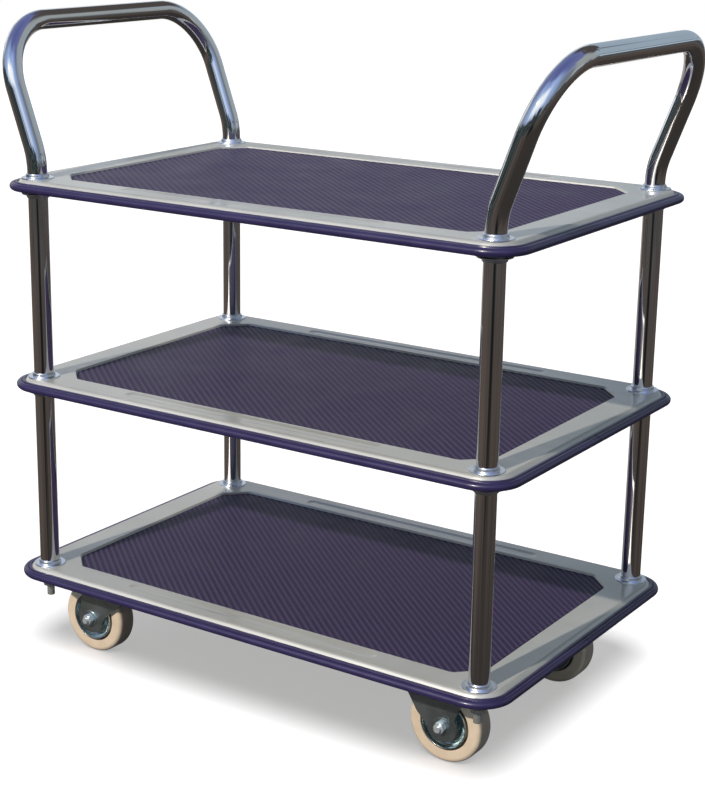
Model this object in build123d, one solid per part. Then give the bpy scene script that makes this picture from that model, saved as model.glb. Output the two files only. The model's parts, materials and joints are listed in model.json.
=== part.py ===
"""Three-tier tool cart: pressed trays with bumpers, bolted tube frame, two rigid and two swivel casters.

Millimetres. Origin on the floor under the middle of the cart, +Z up, long side along X.
The swivel casters are at +X, the rigid ones at -X, and -Y is the front.
"""
import os
from math import cos, radians, sin, tan

from build123d import *

# ---- overall layout ---------------------------------------------------------
LENGTH, WIDTH = 740.0, 480.0        # outer faces of the bumper
CORNER_R = 46.0                     # outer corner radius of the bumper, plan view
FIRST_DECK, DECK_PITCH = 138.5, 260.0
DECKS = ("bottom", "middle", "top")
END, SIDE = LENGTH / 2, WIDTH / 2   # bumper faces from the middle of the cart
POST_IN_X, POST_IN_Y = 40.0, 37.0   # post centres, inboard of the bumper faces
POST_X, POST_Y = END - POST_IN_X, SIDE - POST_IN_Y
POST_SPOTS = [(sx * POST_X, sy * POST_Y) for sx in (-1, 1) for sy in (-1, 1)]
TUBE_R, TUBE_WALL = 12.7, 1.5

# ---- pressed tray -----------------------------------------------------------
SHEET = 1.2
FLAT_IN = 14.6                      # where the flat border ends, inboard of the bumper face
STEP_IN, STEP_DROP = 11.0, 5.0      # foot of the sloped shoulder
HEM_IN, HEM_DROP = 8.0, 12.2        # outer face and lower end of the turned-down hem
PLATE_IN = 27.0                     # ring meets the flat border plate
FOLD_R = 5.5                        # round between the flat border and the shoulder
RECESS_IN_X, RECESS_IN_Y = 54.0, 52.0
RECESS_X, RECESS_Y = END - RECESS_IN_X, SIDE - RECESS_IN_Y      # half sizes of the mat recess at the surface
RECESS_CHAMFER, RECESS_DEPTH = 30.0, 4.0
RECESS_ROUND = 10.0
WALL_SLOPE = 30.0                   # recess wall, degrees from vertical
SWAGE_END_IN, SWAGE_IN, SWAGE_W = 180.0, 28.0, 19.0      # swage along each long border
SWAGE_DEPTH, SWAGE_RUN = 1.0, 5.5
ROD_HOLE_R = 5.3

# ---- mat --------------------------------------------------------------------
MAT_T, MAT_GAP = 2.0, 0.5

# ---- bumper section, inboard distance and height from the border surface ----
BULGE_R, BULGE_DROP = 4.9, 9.5
LIP_IN, LIP_TOP = 10.4, 3.4
FIT = 0.1                           # bumper slot round the hem
SEAM = 0.4

# ---- end channels under the trays -------------------------------------------
CHANNEL_IN, CHANNEL_W = 24.0, 36.0
CHANNEL_T, CHANNEL_DROP = 2.0, 18.7
CHANNEL_END_IN, CHANNEL_WALL_IN = 21.0, 43.0
CHANNEL_CORNER = 8.0

# ---- collars, rods, posts ---------------------------------------------------
FLANGE_R, FLANGE_T = 20.5, 1.3
COLLAR_H, NECK_R, NECK_TOP_R = 6.0, 15.0, 14.25
CUP_GAP = 0.2
ROD_R, ROD_END_Z = 5.0, 93.2
WASHER_R, WASHER_T = 12.4, 3.5       # thick washer inside the cup
NUT_H, NUT_AF, THREAD_GAP = 8.0, 17.0, 0.05
PLUG_H, PLUG_GAP = 6.0, 0.05

# ---- handles ----------------------------------------------------------------
BAR_Z, LEAN = 848.0, 20.2           # crossbar centre height, lean from vertical in degrees
LEAN_START = 25.4                   # where the lean line leaves the post axis, above the top tray
LOWER_BEND_R, CORNER_BEND_R = 100.0, 85.0

# ---- casters ----------------------------------------------------------------
WHEEL_R, AXLE_Z = 49.5, 49.5
CASTER_IN, RIGID_IN, SWIVEL_IN = 101.0, 70.5, 112.0      # wheel plane and axles, inboard of the bumper
CASTER_Y, RIGID_X, SWIVEL_X = SIDE - CASTER_IN, RIGID_IN - END, END - SWIVEL_IN
TRAIL = 35.0                        # pivot or plate centre to axle
FORK_GAP, FORK_T = 18.2, 2.8        # wheel plane to inner leg face, leg thickness
FORK_END_R, BOSS_R, BOSS_T = 20.5, 12.0, 0.8
CREASE_IN, CREASE = 11.0, 6.0       # the swivel leg's free edge turns in by so many degrees
SKIRT_X, SKIRT_Z, ARCH_R = 62.0, 48.0, 15.0
SWIVEL_LEG_X = 4.0                  # free edge of the swivel fork's leg at the crown
CROWN_R, CROWN_Z, CROWN_T = 34.0, 119.0, 3.0
PLATE_X, PLATE_Y, PLATE_T, PLATE_CORNER = 45.0, 42.0, 3.0, 7.0
STUD_X, STUD_Y, STUD_R = 37.5, 30.0, 4.0
STUD_SPOTS = [(TRAIL + sx * STUD_X, sy * STUD_Y) for sx in (-1, 1) for sy in (-1, 1)]
STUD_LEN, STUD_HOLE_R = 12.8, 4.5
STUD_NUT_H, STUD_NUT_AF = 6.5, 13.0
RUNNING = 0.05                      # running fit on kingpins and axle sleeves
BODY_GAP = 0.3                      # between parts that turn past each other
BALL_R, BALL_CIRCLE, BALLS = 2.5, 24.0, 10
RACE_R = 29.0
KINGPIN_R, KINGPIN_HEAD_R, KINGPIN_HEAD_T = 6.0, 9.5, 3.0
AXLE_R, AXLE_GAP = 4.0, 0.1
HEAD_H, AXLE_NUT_H, AXLE_AF, THREAD_OUT = 5.3, 7.0, 13.0, 4.0
SLEEVE_R, BUSH_R = 7.0, 9.0
HUB_HALF = 17.8
RIM_R, LIP_HALF = 33.0, 17.2
TYRE_HALF, TREAD_ROUND = 15.0, 6.0

TOP_Z = FIRST_DECK + 2 * DECK_PITCH
PLATE_TOP = FIRST_DECK - RECESS_DEPTH - SHEET
NODES = {}


# ---- helpers ----------------------------------------------------------------
UPRIGHT = (Align.CENTER, Align.CENTER, Align.MIN)


def rod(r, z0, z1, hole=0.0, x=0.0, y=0.0):
    """Upright cylinder or tube between two heights."""
    body = Pos(x, y, z0) * Cylinder(r, z1 - z0, align=UPRIGHT)
    if hole:
        body -= Pos(x, y, z0 - 1) * Cylinder(hole, z1 - z0 + 2, align=UPRIGHT)
    return body


def block(x0, x1, y0, y1, z0, z1):
    return Pos(x0, y0, z0) * Box(x1 - x0, y1 - y0, z1 - z0, align=(Align.MIN,) * 3)


def hexagon(af, z0, z1, hole):
    """Hex nut along Z with lightly chamfered corners."""
    prism = Pos(0, 0, z0) * extrude(RegularPolygon(af / 2, 6, major_radius=False), z1 - z0)
    corner = af / 2 / cos(radians(30))
    flat, low, high = corner - 1.0, z0 + 0.8, z1 - 0.8
    profile = Polyline((0, z0), (flat, z0), (corner, low), (corner, high), (flat, z1), (0, z1), close=True)
    prism = prism & revolve(Plane.XZ * make_face(profile), Axis.Z)
    return prism - rod(hole, z0 - 1, z1 + 1) if hole else prism


def outline(dx, dy, chamfer, rounding, inset=0.0):
    """Rectangle with 45 degree corners, each vertex rounded; inset keeps the walls parallel."""
    x, y = dx - inset, dy - inset
    c = chamfer - inset * (2 - 2 ** 0.5)
    half = [(x - c, -y), (x, c - y), (x, y - c), (x - c, y)]
    pts = half + [(-px, py) for px, py in reversed(half)]
    face = make_face(Polyline(*pts, close=True))
    return fillet(face.vertices(), rounding)


def ring(section):
    """Carry a section (inboard distance, height) round the rounded-rectangle edge of a tray."""
    hx, hy = END, SIDE
    sx, sy = hx - CORNER_R, hy - CORNER_R
    front = Plane((-sx, -hy, 0), x_dir=(0, 1, 0), z_dir=(1, 0, 0)) * section
    right = Plane((hx, -sy, 0), x_dir=(-1, 0, 0), z_dir=(0, 1, 0)) * section
    start = Plane((sx, -hy, 0), x_dir=(0, 1, 0), z_dir=(1, 0, 0)) * section
    corner = revolve(start, Axis((sx, -sy, 0), (0, 0, 1)), 90)
    half = [extrude(front, 2 * sx, dir=(1, 0, 0)), extrude(right, 2 * sy, dir=(0, 1, 0)),
            corner, corner.mirror(Plane.YZ)]
    pieces = half + [p.rotate(Axis.Z, 180) for p in half]
    body = pieces[0]
    return body.fuse(*pieces[1:]).clean()


def swept_section(points, rounds):
    """Closed polygon section with chosen vertices rounded: {index: radius}."""
    face = make_face(Polyline(*points, close=True))
    for (px, pz), r in [(points[i], r) for i, r in rounds.items()]:
        face = fillet(face.vertices().sort_by_distance((px, pz, 0))[0], r)
    return face


def save(name, shape):
    NODES[name] = shape


def group(shapes):
    return Compound(children=[s for shape in shapes for s in shape.solids()])


# ---- trays ------------------------------------------------------------------
def tray_section():
    """Flat border, sloped shoulder and turned-down hem, one sheet thick."""
    slope = STEP_DROP / (FLAT_IN - STEP_IN)
    thick = SHEET * (1 + slope ** 2) ** 0.5             # sheet measured vertically on the slope
    flat_under = FLAT_IN + (thick - SHEET) / slope
    step_under = STEP_IN + (thick - SHEET) / slope
    pts = [(HEM_IN, -HEM_DROP), (HEM_IN, -STEP_DROP), (STEP_IN, -STEP_DROP), (FLAT_IN, 0),
           (PLATE_IN, 0), (PLATE_IN, -SHEET), (flat_under, -SHEET), (step_under, -STEP_DROP - SHEET),
           (HEM_IN + SHEET, -STEP_DROP - SHEET), (HEM_IN + SHEET, -HEM_DROP)]
    return swept_section(pts, {1: 1.0, 2: 1.0, 3: FOLD_R, 6: FOLD_R - SHEET, 7: 1.0})


def recess(inset=0.0):
    """Outline of the mat recess, moved inboard."""
    return outline(RECESS_X, RECESS_Y, RECESS_CHAMFER, RECESS_ROUND, inset)


def tray():
    body = ring(tray_section())
    px, py = END - PLATE_IN, SIDE - PLATE_IN
    border = RectangleRounded(2 * px, 2 * py, CORNER_R - PLATE_IN)
    body = body.fuse(Pos(0, 0, -SHEET) * extrude(border, SHEET))
    lean = tan(radians(WALL_SLOPE))
    skin = SHEET / cos(radians(WALL_SLOPE))             # sheet measured level across the sloped wall
    full = RECESS_DEPTH + SHEET
    tub = loft([Pos(0, 0, -SHEET) * recess(SHEET * lean - skin),
                Pos(0, 0, -full) * recess(full * lean - skin)], ruled=True)
    hollow = loft([recess(), Pos(0, 0, -RECESS_DEPTH) * recess(RECESS_DEPTH * lean)], ruled=True)
    body = body.fuse(tub).cut(hollow)
    length = 2 * (END - SWAGE_END_IN)
    bed = SlotOverall(length - 2 * SWAGE_RUN, SWAGE_W - 2 * SWAGE_RUN)
    trough = loft([SlotOverall(length, SWAGE_W), Pos(0, 0, -SWAGE_DEPTH) * bed], ruled=True)
    for side in (-1, 1):
        cut = Pos(0, side * (SIDE - SWAGE_IN - SWAGE_W / 2), 0) * trough
        body = body.fuse(Pos(0, 0, -SHEET) * cut).cut(cut)
    for x, y in POST_SPOTS:
        body = body.cut(rod(ROD_HOLE_R, -SHEET - 1, 1, x=x, y=y))
    return body.clean()


def mat():
    inset = RECESS_DEPTH * tan(radians(WALL_SLOPE)) + MAT_GAP
    return extrude(Pos(0, 0, -RECESS_DEPTH) * recess(inset), MAT_T)


def bumper():
    """Moulded strip: lip over the shoulder, round nose, hook round the hem, one butt seam."""
    b, d = BULGE_R, BULGE_DROP
    nose_in = 6.0
    nose_z = -d + (b ** 2 - (nose_in - b) ** 2) ** 0.5
    slot_out, slot_in = HEM_IN - FIT, HEM_IN + SHEET + FIT
    nose = ThreePointArc((nose_in, nose_z), (0, -d), (b, -d - b))
    edge = Polyline((b, -d - b), (9.9, -d - b), (10.8, -13.5), (10.8, -11.2), (slot_in, -11.2),
                    (slot_in, -HEM_DROP - FIT), (slot_out, -HEM_DROP - FIT), (slot_out, -STEP_DROP),
                    (LIP_IN, -STEP_DROP), (LIP_IN, -LIP_TOP - 0.6), (LIP_IN - 0.7, -LIP_TOP - 0.1),
                    (7.5, -LIP_TOP), (6.6, -5.6), (nose_in, nose_z))
    body = ring(make_face(nose.edges() + edge.edges()))
    return body.cut(block(END - 15, END + 1, -SEAM / 2, SEAM / 2, -20, 0))


def channels():
    """Folded channel under each end border; the web runs on past the walls under the collars."""
    t, drop = CHANNEL_T, CHANNEL_DROP
    x0, x1 = END - CHANNEL_IN - CHANNEL_W, END - CHANNEL_IN
    wall, reach = SIDE - CHANNEL_WALL_IN, SIDE - CHANNEL_END_IN
    plan = Pos((x0 + x1) / 2, 0, -drop) * RectangleRounded(CHANNEL_W, 2 * reach, CHANNEL_CORNER)
    body = extrude(plan, t)
    body = body.fuse(block(x0, x0 + t, -wall, wall, -drop + t / 2, -RECESS_DEPTH - SHEET))
    body = body.fuse(block(x1 - t, x1, -wall, wall, -drop + t / 2, -SHEET))
    for y in (-POST_Y, POST_Y):
        body = body.cut(rod(ROD_HOLE_R, -drop - 1, -drop + t + 1, x=POST_X, y=y))
    body = body.clean()
    return group([body, body.mirror(Plane.YZ)])


# ---- frame ------------------------------------------------------------------
def collar():
    """Flanged cup the tube end stands in."""
    cup_r = TUBE_R + CUP_GAP
    neck = 1.2
    pts = [(ROD_HOLE_R, 0), (FLANGE_R, 0), (FLANGE_R, FLANGE_T - 0.5), (FLANGE_R - 0.6, FLANGE_T),
           (NECK_R + 0.8, FLANGE_T), (NECK_R, FLANGE_T + 0.8), (NECK_TOP_R, COLLAR_H - neck),
           (NECK_TOP_R - 0.5, COLLAR_H - 0.3), (NECK_TOP_R - 0.9, COLLAR_H), (cup_r, COLLAR_H),
           (cup_r, FLANGE_T), (ROD_HOLE_R, FLANGE_T)]
    return revolve(Plane.XZ * make_face(Polyline(*pts, close=True)), Axis.Z)


def handle():
    """Bent tube at the +X end: two legs leaning out of the end posts and a crossbar."""
    foot = TOP_Z + FLANGE_T
    turn = TOP_Z + LEAN_START
    a = radians(LEAN)
    low = LOWER_BEND_R * tan(a / 2)
    up = Vector(sin(a), 0, cos(a))
    knee = Vector(POST_X, -POST_Y, turn)
    rise = (BAR_Z - turn) / cos(a)
    corner = min(CORNER_BEND_R, rise - low - 5)         # the bend stays within its leg
    bar = knee + up * rise
    p0 = Vector(POST_X, -POST_Y, foot)
    p1, p2 = knee - Vector(0, 0, low), knee + up * low
    p3, p4 = bar - up * corner, bar + Vector(0, corner, 0)
    low_centre = p1 + Vector(LOWER_BEND_R, 0, 0)
    mid1 = low_centre + (Vector(-cos(a / 2), 0, sin(a / 2)) * LOWER_BEND_R)
    corner_centre = p3 + Vector(0, corner, 0)
    mid2 = corner_centre + (up - Vector(0, 1, 0)) * (corner / 2 ** 0.5)

    def m(v):
        return Vector(v.X, -v.Y, v.Z)

    leg = [Line(p0, p1), ThreePointArc(p1, mid1, p2), Line(p2, p3), ThreePointArc(p3, mid2, p4)]
    other = [Line(m(p3), m(p2)), ThreePointArc(m(p2), m(mid1), m(p1)), Line(m(p1), m(p0))]
    across_top = [Line(p4, m(p4)), ThreePointArc(m(p4), m(mid2), m(p3))]
    path = Wire([part.edge() for part in leg + across_top + other])
    start = Plane(p0, x_dir=(1, 0, 0), z_dir=(0, 0, 1))
    outer = sweep(start * Circle(TUBE_R), path=path)
    inner = sweep(start * Circle(TUBE_R - TUBE_WALL), path=path)
    return outer.cut(inner)


# ---- casters: local frame, axle at the origin along Y, pivot towards +X ------
def fork(top, side, crease=None):
    """Offset fork pressing: two legs with round ends and bosses, skirt on the pivot side."""
    g, t = FORK_GAP, FORK_T
    leg_face = make_face(Polyline(*side, close=True)) + Circle(FORK_END_R)
    leg = extrude(Plane((0, g, 0), x_dir=(1, 0, 0), z_dir=(0, -1, 0)) * leg_face, -t)
    if crease:
        slant = Plane((-crease, g + t, 0), x_dir=(0, 0, 1), z_dir=(-sin(radians(CREASE)), cos(radians(CREASE)), 0))
        leg -= slant * Box(2 * top, crease * 3, t, align=(Align.CENTER, Align.MAX, Align.MIN))
    boss = Plane((0, g + 1, 0), x_dir=(1, 0, 0), z_dir=(0, 1, 0)) * loft(
        [Circle(BOSS_R), Pos(0, 0, t - 1 + BOSS_T) * Circle(BOSS_R - BOSS_T)], ruled=True)
    half = leg + boss
    skirt = block(SKIRT_X - t, SKIRT_X, -g - t, g + t, SKIRT_Z, top)
    arch = Pos(SKIRT_X, 0, SKIRT_Z - 2) * Rot(0, 90, 0) * Cylinder(ARCH_R, 4 * t)
    body = half + half.mirror(Plane.XZ) + (skirt - arch)
    bore = Rot(90, 0, 0) * Cylinder(AXLE_R + AXLE_GAP, 4 * g)
    return body - bore


def base_plate(z0):
    """Mounting plate with four stud holes, centred over the pivot."""
    plate = Pos(TRAIL, 0, z0) * extrude(RectangleRounded(2 * PLATE_X, 2 * PLATE_Y, PLATE_CORNER), PLATE_T)
    for x, y in STUD_SPOTS:
        plate -= rod(STUD_HOLE_R, z0 - 1, z0 + PLATE_T + 1, x=x, y=y)
    return plate


PLATE_Z = PLATE_TOP - AXLE_Z - PLATE_T      # underside of the mounting plates above the axle
CROWN = CROWN_Z - AXLE_Z


def rigid_fork():
    side = [(-19.5, 5), (-17, 14), (-16, 25), (-12.8, 45), (-6.8, PLATE_Z), (SKIRT_X, PLATE_Z),
            (61.2, 44), (50, 27.3), (28, 9), (17.5, -6), (0, 0)]
    return (fork(PLATE_Z, side) + base_plate(PLATE_Z)).clean()


def swivel_fork():
    side = [(-20.3, 3), (-19.8, 6.4), (-16.2, 13), (-22.8, 24.4), (-24, 30), (-20, 45), (-8, 60),
            (SWIVEL_LEG_X, CROWN), (SKIRT_X, CROWN), (SKIRT_X, 50), (54, 40), (46.5, 29.5),
            (40, 19), (34.5, 10.5), (28, 4), (20.5, -3), (0, 0)]
    crown = rod(CROWN_R, CROWN, CROWN + CROWN_T, x=TRAIL)
    crown += block(SWIVEL_LEG_X, SKIRT_X, -FORK_GAP - FORK_T, FORK_GAP + FORK_T, CROWN, CROWN + CROWN_T)
    body = fork(CROWN, side, CREASE_IN) + crown
    return (body - rod(KINGPIN_R + RUNNING, CROWN - 1, CROWN + CROWN_T + 1, x=TRAIL)).clean()


def swivel_plate():
    race_z = CROWN + CROWN_T + 2 * BALL_R + BODY_GAP
    body = base_plate(PLATE_Z) + rod(RACE_R, race_z, PLATE_Z, x=TRAIL)
    return body - rod(KINGPIN_R + RUNNING, race_z - 1, PLATE_Z + PLATE_T + 1, x=TRAIL)


def kingpin():
    z = CROWN - BODY_GAP
    head = rod(KINGPIN_HEAD_R, z - KINGPIN_HEAD_T, z, x=TRAIL)
    return head + rod(KINGPIN_R, z - 1, PLATE_Z + PLATE_T, x=TRAIL)


def balls():
    centre = Pos(TRAIL, 0, CROWN + CROWN_T + BALL_R)
    return group([centre * spot * Sphere(BALL_R) for spot in PolarLocations(BALL_CIRCLE, BALLS)])


def across(shape):
    """Turn a shape built along Z so that +Z points along +Y."""
    return Rot(-90, 0, 0) * shape


FACE = FORK_GAP + FORK_T + BOSS_T           # boss face from the wheel plane


def axle_bolt(side):
    """Hex bolt through fork and sleeve; side is where the head lies, +1 towards +Y."""
    shank = rod(AXLE_R, -FACE - AXLE_NUT_H - THREAD_OUT, FACE + 1)
    bolt = shank + hexagon(AXLE_AF, FACE, FACE + HEAD_H, 0)
    return across(bolt if side > 0 else bolt.mirror(Plane.XY))


def axle_nut(side):
    z = -side * (FACE + AXLE_NUT_H / 2)
    return across(hexagon(AXLE_AF, z - AXLE_NUT_H / 2, z + AXLE_NUT_H / 2, AXLE_R + THREAD_GAP))


def axle_sleeve():
    return across(rod(SLEEVE_R, -FORK_GAP, FORK_GAP, hole=AXLE_R + AXLE_GAP))


def wheel_bush():
    return across(rod(BUSH_R, -HUB_HALF, HUB_HALF, hole=SLEEVE_R + RUNNING))


def wheel_rim():
    half = [(RIM_R, 9.0), (31.2, 9.4), (31.0, 15.6), (30.6, LIP_HALF), (29.7, LIP_HALF),
            (29.0, 16.0), (28.0, 13.2), (26.0, 10.8), (23.0, 9.6), (16.5, 9.6), (13.6, 11.0),
            (12.4, 14.0), (12.0, HUB_HALF), (BUSH_R, HUB_HALF)]
    pts = half + [(r, -y) for r, y in reversed(half)]
    return across(revolve(Plane.XZ * make_face(Polyline(*pts, close=True)), Axis.Z))


def tyre():
    h, t = TYRE_HALF, TREAD_ROUND
    half = [(RIM_R, 8.9), (33.2, 9.3), (33.4, h)]
    pts = half + [(WHEEL_R, h), (WHEEL_R, -h)] + [(r, -y) for r, y in reversed(half)]
    face = make_face(Polyline(*pts, close=True))
    outer = [v for v in face.vertices() if abs(v.X - WHEEL_R) < 1e-6]
    return across(revolve(Plane.XZ * fillet(outer, t), Axis.Z))


def studs():
    top = PLATE_Z + PLATE_T
    return group([rod(STUD_R, top - STUD_LEN, top, x=x, y=y) for x, y in STUD_SPOTS])


def stud_nuts():
    nut = hexagon(STUD_NUT_AF, PLATE_Z - STUD_NUT_H, PLATE_Z, STUD_R + THREAD_GAP)
    return group([Pos(x, y, 0) * nut for x, y in STUD_SPOTS])


# ---- build the trays --------------------------------------------------------
pan, rubber, strip, rails = tray(), mat(), bumper(), channels()
for i, deck in enumerate(DECKS):
    lift = Pos(0, 0, FIRST_DECK + i * DECK_PITCH)
    save(f"{deck}_deck_pan", lift * pan)
    save(f"{deck}_deck_mat", lift * rubber)
    save(f"{deck}_deck_bumper", lift * strip)
    save(f"{deck}_deck_channels", lift * rails)

# ---- posts, collars and tie rods --------------------------------------------
SIDES = {"left": -1, "right": 1}
ROWS = {"front": -1, "rear": 1}
for level, base in (("lower", FIRST_DECK), ("upper", FIRST_DECK + DECK_PITCH)):
    foot, head = base + FLANGE_T, base + DECK_PITCH - CHANNEL_DROP - FLANGE_T
    for row, sy in ROWS.items():
        for side, sx in SIDES.items():
            post = rod(TUBE_R, foot, head, hole=TUBE_R - TUBE_WALL, x=sx * POST_X, y=sy * POST_Y)
            save(f"{level}_post_{row}_{side}", post)

cup = collar()
flipped = cup.mirror(Plane.XY)
levels = [FIRST_DECK + i * DECK_PITCH for i in range(len(DECKS))]
save("upper_collars", group([Pos(x, y, z) * cup for z in levels for x, y in POST_SPOTS]))
save("lower_collars", group([Pos(x, y, z - CHANNEL_DROP) * flipped for z in levels for x, y in POST_SPOTS]))

washer_top = FIRST_DECK - CHANNEL_DROP - FLANGE_T     # washer and nut sit up inside the lowest cups
nut_top = washer_top - WASHER_T
plug_z = TOP_Z + FLANGE_T
plug_r = TUBE_R - TUBE_WALL - PLUG_GAP
fittings = {"tie_rods": rod(ROD_R, ROD_END_Z, plug_z + PLUG_H - 0.5),
            "tie_rod_washers": rod(WASHER_R, nut_top, washer_top, hole=ROD_HOLE_R),
            "tie_rod_nuts": hexagon(NUT_AF, nut_top - NUT_H, nut_top, ROD_R + THREAD_GAP),
            "handle_leg_plugs": rod(plug_r, plug_z, plug_z + PLUG_H, hole=ROD_R + THREAD_GAP)}
for name, piece in fittings.items():
    save(name, group([Pos(x, y, 0) * piece for x, y in POST_SPOTS]))

right = handle()
save("right_handle", right)
save("left_handle", right.mirror(Plane.YZ))

# ---- casters ----------------------------------------------------------------
UNIT = {"sleeve": axle_sleeve(), "bush": wheel_bush(), "rim": wheel_rim(), "tyre": tyre(),
        "studs": studs(), "stud_nuts": stud_nuts()}
AXLE = {kind: {"bolt": axle_bolt(side), "nut": axle_nut(side), "sleeve": UNIT["sleeve"]}
        for kind, side in (("rigid", 1), ("swivel", -1))}   # every nut faces the front of the cart
FIXED, TURNING, TOP_PLATE, PIN, RACE = rigid_fork(), swivel_fork(), swivel_plate(), kingpin(), balls()


def place(kind, row):
    y = ROWS[row] * CASTER_Y
    if kind == "rigid":
        return Pos(RIGID_X, y, AXLE_Z)
    return Pos(SWIVEL_X, y, AXLE_Z) * Rot(0, 0, 180)


for row in ROWS:
    spot = place("swivel", row)
    save(f"rigid_caster_{row}_fork", place("rigid", row) * FIXED)
    save(f"swivel_caster_{row}_top_plate", spot * TOP_PLATE)
    save(f"swivel_caster_{row}_fork", spot * TURNING)
    save(f"swivel_caster_{row}_balls", spot * RACE)
    for piece in ("bolt", "nut", "sleeve"):
        save(f"swivel_{row}_axle_{piece}", spot * AXLE["swivel"][piece])
    for kind in ("rigid", "swivel"):
        for piece, name in (("rim", "wheel_rim"), ("bush", "wheel_bush"), ("tyre", "tyre")):
            save(f"{kind}_{row}_{name}", place(kind, row) * UNIT[piece])
for piece in ("bolt", "nut", "sleeve"):
    save(f"rigid_axle_{piece}s", group([place("rigid", row) * AXLE["rigid"][piece] for row in ROWS]))
save("swivel_kingpins", group([place("swivel", row) * PIN for row in ROWS]))
every = [place(kind, row) for kind in ("rigid", "swivel") for row in ROWS]
save("caster_weld_studs", group([spot * UNIT["studs"] for spot in every]))
save("caster_nuts", group([spot * UNIT["stud_nuts"] for spot in every]))

os.makedirs("parts", exist_ok=True)
for name, shape in NODES.items():
    export_step(shape, f"parts/{name}.step")
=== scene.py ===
"""Looks of the three-tier tool cart: dressed pieces over the CAD frame, materials, light and camera."""

import json
import math

import bmesh
import bpy
import numpy as np
from mathutils import Matrix, Vector
from mathutils.geometry import tessellate_polygon

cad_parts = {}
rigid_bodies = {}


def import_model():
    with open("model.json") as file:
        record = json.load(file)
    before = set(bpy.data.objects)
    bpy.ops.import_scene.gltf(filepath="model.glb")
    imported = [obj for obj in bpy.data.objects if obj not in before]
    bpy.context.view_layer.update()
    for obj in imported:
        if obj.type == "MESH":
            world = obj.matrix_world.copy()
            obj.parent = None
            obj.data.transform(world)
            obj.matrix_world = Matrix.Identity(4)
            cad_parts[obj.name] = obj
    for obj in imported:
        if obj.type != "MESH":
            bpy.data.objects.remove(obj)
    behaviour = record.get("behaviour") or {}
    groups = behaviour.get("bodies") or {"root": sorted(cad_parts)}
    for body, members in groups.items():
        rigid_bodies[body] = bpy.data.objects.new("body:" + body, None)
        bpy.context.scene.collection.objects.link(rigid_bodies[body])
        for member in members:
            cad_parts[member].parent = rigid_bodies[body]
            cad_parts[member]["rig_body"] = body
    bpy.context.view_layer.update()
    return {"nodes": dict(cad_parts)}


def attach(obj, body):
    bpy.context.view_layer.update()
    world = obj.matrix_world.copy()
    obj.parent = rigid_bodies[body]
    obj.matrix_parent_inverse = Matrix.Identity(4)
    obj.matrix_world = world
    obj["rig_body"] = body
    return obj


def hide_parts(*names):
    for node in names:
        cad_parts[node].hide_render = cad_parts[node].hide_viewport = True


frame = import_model()
NODES = frame["nodes"]
MM = 0.001

# ---- sizes shared with the CAD source, millimetres ---------------------------
LENGTH, WIDTH, CORNER_R = 740.0, 480.0, 46.0
END, SIDE = LENGTH / 2, WIDTH / 2
DECK_Z = {"bottom": 138.5, "middle": 398.5, "top": 658.5}
DECK_PITCH = 260.0
POST_X, POST_Y, TUBE_R = 330.0, 203.0, 12.7
SHEET = 1.2
FLAT_IN, STEP_IN, STEP_DROP = 14.6, 11.0, 5.0       # sloped shoulder of a tray, head and foot
HEM_IN, HEM_DROP, FOLD_R = 8.0, 12.2, 5.5           # turned-down hem, round over the shoulder
RECESS_X, RECESS_Y, RECESS_CHAMFER, RECESS_ROUND = 316.0, 188.0, 30.0, 10.0
RECESS_DEPTH = 4.0
WALL_RUN = RECESS_DEPTH * math.tan(math.radians(30.0))
SWAGE_X, SWAGE_Y0, SWAGE_Y1, SWAGE_DEPTH, SWAGE_RUN = 190.0, 193.0, 212.0, 1.0, 5.5
MAT_GAP, MAT_T = 0.5, 2.0
BULGE_R, BULGE_DROP = 4.9, 9.5                      # round nose of the bumper
LIP_IN, LIP_TOP = 10.4, 3.4                         # upper lip of the bumper
FLANGE_R, FLANGE_T, COLLAR_H, CHANNEL_DROP = 20.5, 1.3, 6.0, 18.7
NECK_R, NECK_TOP_R = 15.0, 14.25
BAR_Z, LEAN, LEAN_START, LOWER_BEND_R, CORNER_BEND_R = 848.0, 20.2, 25.4, 100.0, 85.0
AXLE_Z, CASTER_Y, RIGID_X, SWIVEL_X = 49.5, 139.0, -299.5, 258.0
RIM_R, WHEEL_R, TYRE_HALF_W, HUB_HALF, LIP_HALF = 33.0, 49.5, 15.0, 17.8, 17.2

# ---- sizes of the looks alone, millimetres -----------------------------------
RIB_PITCH, RIB_ANGLE, RIB_DEPTH, RIB_FADE = 7.8, 139.0, 0.85, 2.5
RIB_FULLNESS = 0.85       # how square the ribs are: 0.5 is a plain wave
RIB_STEPS = 16            # rows of mesh across one rib
PLATE_IN = 24.0           # the edge section ends here, on the flat border
UNDERSIDE_IN = 0.6        # the underside of the shoulder lies this far inboard of its top
RECESS_LIP, RECESS_FLOOR_IN = 2.0, 9.0     # recess section: outside its edge, and in under the mat
UNDER_WALL = (-0.693, 1.617)               # underside of the recess wall: where it starts and ends
UNDER_FLOOR_IN = 6.0
SWAGE_LIP, SWAGE_FLOOR_IN = 1.2, 8.2       # the same for a swage
BUMPER_SEAM = 0.45        # half gap of the butt seam
NOSE_IN = 6.0             # where the nose's arc begins at the top
DIP = (6.6, -5.6)         # the dip between the bumper's lip and its nose
CUP_R, CUP_FLOOR = 12.75, 4.5              # mouth of a collar's cup


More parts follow.
